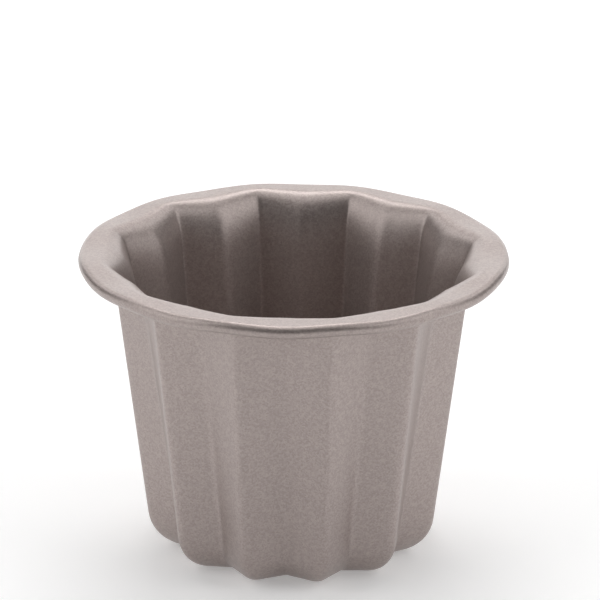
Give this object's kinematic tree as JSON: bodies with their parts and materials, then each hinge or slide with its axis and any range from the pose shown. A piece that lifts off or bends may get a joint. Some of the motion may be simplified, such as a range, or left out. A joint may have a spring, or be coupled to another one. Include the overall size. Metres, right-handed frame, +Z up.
{
  "type": "canele mould",
  "caption": "Small deep fluted baking mould of coated sheet steel, with leaning flat-sided flutes, a rounded foot, a flared rim and a rolled edge.",
  "frame": {"origin": "middle of the floor's underside, where the mould stands", "axes": "+Z up the mould's axis, towards its open mouth; a crest of the flutes lies over +X"},
  "size_m": [0.07, 0.07, 0.0506],
  "materials": {
    "coated_steel": "satin metallic non-stick coat, warm grey with a fine flake"
  },
  "bodies": {
    "root": {"mould": "coated_steel"}
  },
  "joints": []
}
